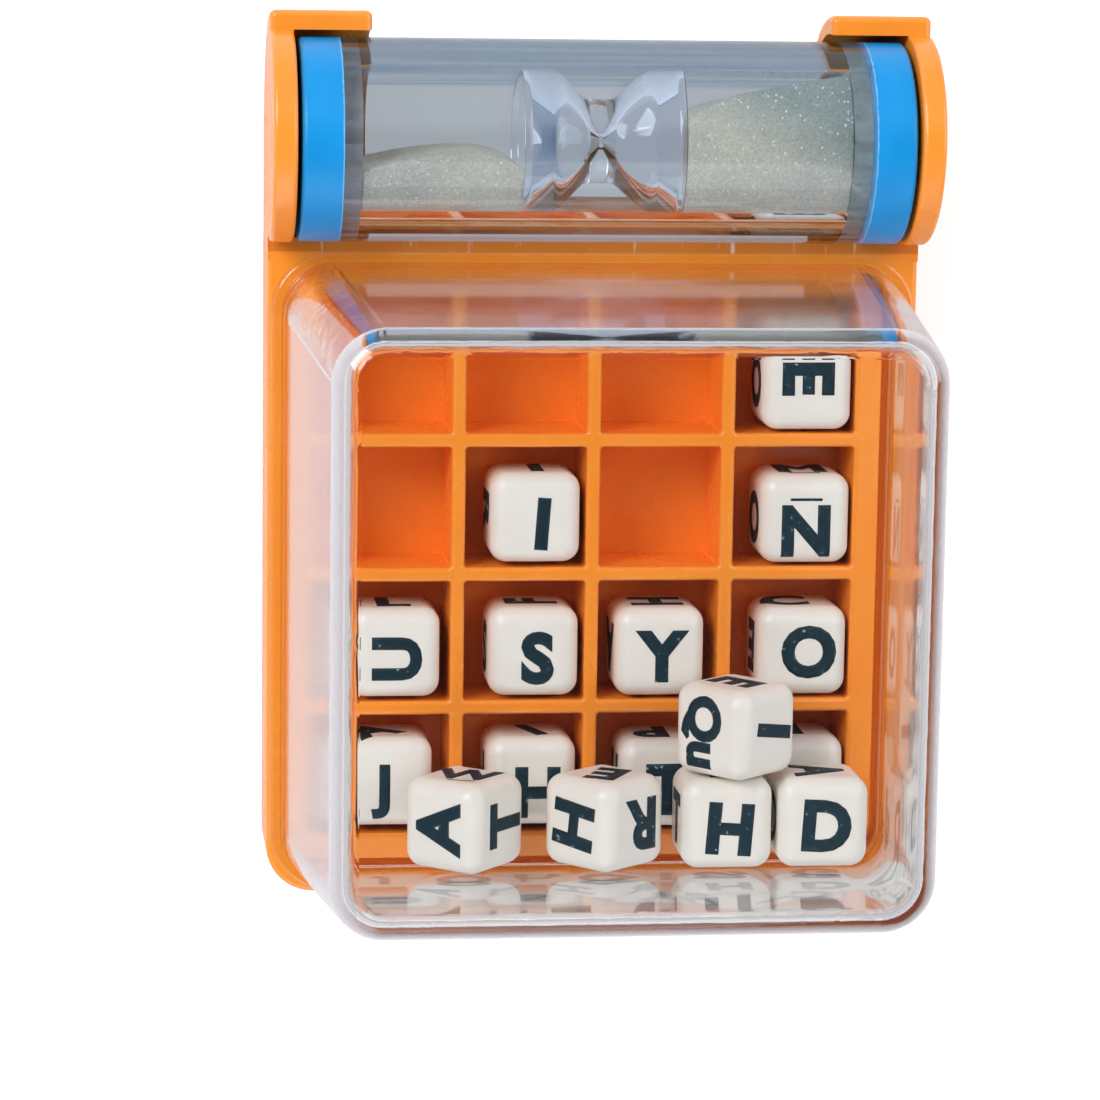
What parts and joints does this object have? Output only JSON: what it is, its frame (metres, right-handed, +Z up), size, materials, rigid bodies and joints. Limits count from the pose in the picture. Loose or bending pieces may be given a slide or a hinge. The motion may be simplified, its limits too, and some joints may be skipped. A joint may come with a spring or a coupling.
{
  "type": "letter dice word game",
  "caption": "Pocket letter dice word game: tray with a grid of cells, clear lift-off cover, loose letter dice and a sand timer lying in two cradles.",
  "frame": {"origin": "middle of the footprint, on the underside of the tray", "axes": "+Z up out of the cells towards the cover, +Y from the tray to the timer, +X to the right of someone who faces the timer from the tray's front edge"},
  "size_m": [0.038, 0.0516, 0.0278],
  "materials": {
    "orange_plastic": "glossy moulded",
    "clear_plastic": "clear polished",
    "blue_plastic": "glossy",
    "white_plastic": "satin",
    "sand": "fine grain"
  },
  "bodies": {
    "base": {"base_tray": "orange_plastic"},
    "cover": {"clear_cover": "clear_plastic"},
    "timer": {"timer_tube": "clear_plastic", "timer_cap_left": "blue_plastic", "timer_cap_right": "blue_plastic", "timer_neck": "clear_plastic", "timer_sand_left": "sand", "timer_sand_right": "sand"},
    "die_cell_r1c4": {"die_cell_r1c4": "white_plastic"},
    "die_cell_r2c2": {"die_cell_r2c2": "white_plastic"},
    "die_cell_r2c4": {"die_cell_r2c4": "white_plastic"},
    "die_cell_r3c1": {"die_cell_r3c1": "white_plastic"},
    "die_cell_r3c2": {"die_cell_r3c2": "white_plastic"},
    "die_cell_r3c3": {"die_cell_r3c3": "white_plastic"},
    "die_cell_r3c4": {"die_cell_r3c4": "white_plastic"},
    "die_cell_r4c1": {"die_cell_r4c1": "white_plastic"},
    "die_cell_r4c2": {"die_cell_r4c2": "white_plastic"},
    "die_cell_r4c3": {"die_cell_r4c3": "white_plastic"},
    "die_cell_r4c4": {"die_cell_r4c4": "white_plastic"},
    "die_loose_a": {"die_loose_a": "white_plastic"},
    "die_loose_b": {"die_loose_b": "white_plastic"},
    "die_loose_c": {"die_loose_c": "white_plastic"},
    "die_loose_d": {"die_loose_d": "white_plastic"},
    "die_loose_e": {"die_loose_e": "white_plastic"}
  },
  "joints": [
    {"name": "cover_lift", "type": "slide", "parent": "base", "child": "cover", "axis": [0, 0, 1], "range_m": [0, 0.03]},
    {"name": "timer_lift", "type": "slide", "parent": "base", "child": "timer", "axis": [0, 0, 1], "range_m": [0, 0.015]},
    {"name": "lift_r1c4", "type": "slide", "parent": "base", "child": "die_cell_r1c4", "axis": [0, 0, 1], "range_m": [0, 0.0195]},
    {"name": "lift_r2c2", "type": "slide", "parent": "base", "child": "die_cell_r2c2", "axis": [0, 0, 1], "range_m": [0, 0.0195]},
    {"name": "lift_r2c4", "type": "slide", "parent": "base", "child": "die_cell_r2c4", "axis": [0, 0, 1], "range_m": [0, 0.0195]},
    {"name": "lift_r3c1", "type": "slide", "parent": "base", "child": "die_cell_r3c1", "axis": [0, 0, 1], "range_m": [0, 0.0195]},
    {"name": "lift_r3c2", "type": "slide", "parent": "base", "child": "die_cell_r3c2", "axis": [0, 0, 1], "range_m": [0, 0.0195]},
    {"name": "lift_r3c3", "type": "slide", "parent": "base", "child": "die_cell_r3c3", "axis": [0, 0.0828, 0.9966], "range_m": [0, 0.006]},
    {"name": "lift_r3c4", "type": "slide", "parent": "base", "child": "die_cell_r3c4", "axis": [0, 0.0828, 0.9966], "range_m": [0, 0.006]},
    {"name": "lift_r4c1", "type": "slide", "parent": "base", "child": "die_cell_r4c1", "axis": [0, 0.0828, 0.9966], "range_m": [0, 0.006]},
    {"name": "lift_r4c2", "type": "slide", "parent": "base", "child": "die_cell_r4c2", "axis": [0, 0.0828, 0.9966], "range_m": [0, 0.006]},
    {"name": "lift_r4c3", "type": "slide", "parent": "base", "child": "die_cell_r4c3", "axis": [0, 0.0828, 0.9966], "range_m": [0, 0.006]},
    {"name": "lift_r4c4", "type": "slide", "parent": "base", "child": "die_cell_r4c4", "axis": [0, 0.0828, 0.9966], "range_m": [0, 0.006]},
    {"name": "lift_loose_a", "type": "slide", "parent": "die_cell_r4c1", "child": "die_loose_a", "axis": [0, 0.0828, 0.9966], "range_m": [0, 0.0065]},
    {"name": "lift_loose_b", "type": "slide", "parent": "die_cell_r4c2", "child": "die_loose_b", "axis": [0, 0.0828, 0.9966], "range_m": [0, 0.0065]},
    {"name": "lift_loose_c", "type": "slide", "parent": "die_cell_r4c3", "child": "die_loose_c", "axis": [0, 0.0828, 0.9966], "range_m": [0, 0.0065]},
    {"name": "lift_loose_d", "type": "slide", "parent": "die_cell_r4c4", "child": "die_loose_d", "axis": [-0.0498, 0.0827, 0.9953], "range_m": [0, 0.0065]},
    {"name": "lift_loose_e", "type": "slide", "parent": "die_cell_r3c4", "child": "die_loose_e", "axis": [0, 0.0828, 0.9966], "range_m": [0, 0.0065]}
  ],
  "couplings": [
    {"joint": "lift_r4c1", "follows": "lift_r4c4", "ratio": 1},
    {"joint": "lift_r4c2", "follows": "lift_r4c4", "ratio": 1},
    {"joint": "lift_r4c3", "follows": "lift_r4c4", "ratio": 1},
    {"joint": "lift_r3c3", "follows": "lift_r4c4", "ratio": 1},
    {"joint": "lift_r3c4", "follows": "lift_r4c4", "ratio": 1},
    {"joint": "lift_loose_c", "follows": "lift_loose_e", "ratio": 1},
    {"joint": "lift_loose_d", "follows": "lift_loose_e", "ratio": 1}
  ]
}
